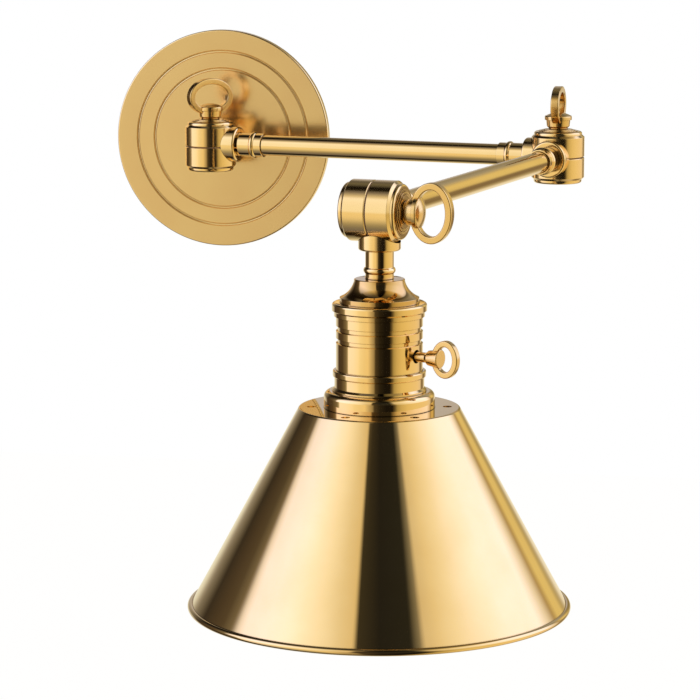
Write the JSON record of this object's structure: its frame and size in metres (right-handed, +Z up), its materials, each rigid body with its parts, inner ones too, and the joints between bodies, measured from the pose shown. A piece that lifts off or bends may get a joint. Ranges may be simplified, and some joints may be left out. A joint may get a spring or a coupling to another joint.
{
  "type": "swing-arm wall sconce",
  "caption": "Brass swing-arm wall sconce: round wall plate, jointed tubular arms with thumbscrew knuckles, keyed lamp socket and a conical shade that tilts.",
  "frame": {"origin": "centre of the wall plate's back, on the wall plane", "axes": "+Y into the wall, +Z up and +X to the right of someone facing the wall"},
  "size_m": [0.3395, 0.4737, 0.2784],
  "materials": {
    "polished_brass": "polished and lightly aged",
    "satin_brass": "brushed to a soft sheen",
    "plated_steel": "zinc plated",
    "green_screw": "dyed green, for the earth wire",
    "lead_cover": "smooth insulation",
    "fibre": "pressed fibre",
    "dark_moulding": "moulded",
    "porcelain": "glazed"
  },
  "bodies": {
    "wall": {"wall_plate": "satin_brass", "wall_strap": "plated_steel", "wall_nipple": "plated_steel", "wall_nut": "plated_steel", "earth_screw": "green_screw", "wall_leads": "lead_cover", "wall_fitting": "polished_brass", "wall_knuckle_lower": "polished_brass", "wall_friction_washer": "fibre"},
    "arm_one": {"wall_knuckle_upper": "polished_brass", "wall_clamp_washer": "polished_brass", "arm_one_inner_fitting": "polished_brass", "arm_one_tube": "polished_brass", "arm_one_leads": "lead_cover", "arm_one_outer_fitting": "polished_brass", "elbow_knuckle_lower": "polished_brass", "elbow_friction_washer": "fibre"},
    "arm_two": {"elbow_knuckle_upper": "polished_brass", "elbow_clamp_washer": "polished_brass", "arm_two_inner_fitting": "polished_brass", "arm_two_tube": "polished_brass", "arm_two_leads": "lead_cover", "arm_two_outer_fitting": "polished_brass", "tilt_knuckle_left": "polished_brass", "tilt_friction_washer": "fibre"},
    "head": {"tilt_knuckle_right": "polished_brass", "tilt_clamp_washer": "polished_brass", "head_neck": "polished_brass", "head_nipple": "plated_steel", "head_nut": "plated_steel", "head_leads": "lead_cover", "socket_cap": "polished_brass", "socket_shell": "polished_brass", "shell_liner": "fibre", "switch_body": "dark_moulding", "terminal_screws": "plated_steel", "lampholder": "porcelain", "lamp_screw_shell": "satin_brass", "lamp_centre_contact": "satin_brass", "shade_holder": "polished_brass", "shade": "polished_brass", "shade_ring": "porcelain"},
    "wall_screw": {"wall_thumbscrew": "polished_brass", "wall_thumb_ring": "satin_brass"},
    "elbow_screw": {"elbow_thumbscrew": "polished_brass", "elbow_thumb_ring": "satin_brass"},
    "tilt_screw": {"tilt_thumbscrew": "polished_brass", "tilt_thumb_ring": "satin_brass"},
    "key": {"switch_key": "satin_brass", "key_ring": "satin_brass"}
  },
  "joints": [
    {"name": "wall_swing", "type": "hinge", "parent": "wall", "child": "arm_one", "pos_m": [0, -0.038, 0], "axis": [0, 0, 1], "range_deg": [-169.3, 10.7]},
    {"name": "elbow_swing", "type": "hinge", "parent": "arm_one", "child": "arm_two", "pos_m": [0.226, -0.0807, 0], "axis": [0, 0, 1], "range_deg": [-1.4, 181.7]},
    {"name": "head_tilt", "type": "hinge", "parent": "arm_two", "child": "head", "pos_m": [0.16965, -0.37333, 0], "axis": [0.982, -0.1891, 0], "range_deg": [-181, 1.4]},
    {"name": "wall_clamp", "type": "hinge", "parent": "wall", "child": "wall_screw", "pos_m": [0, -0.038, 0], "axis": [0, 0, 1], "range_deg": [-20, 360]},
    {"name": "elbow_clamp", "type": "hinge", "parent": "arm_one", "child": "elbow_screw", "pos_m": [0.226, -0.0807, 0], "axis": [0, 0, 1], "range_deg": [-20, 360]},
    {"name": "tilt_clamp", "type": "hinge", "parent": "arm_two", "child": "tilt_screw", "pos_m": [0.16965, -0.37333, 0], "axis": [0.982, -0.1891, 0], "range_deg": [-20, 360]},
    {"name": "key_turn", "type": "hinge", "parent": "head", "child": "key", "pos_m": [0.16965, -0.37333, -0.0739], "axis": [0.9304, -0.3665, 0], "continuous": true}
  ]
}
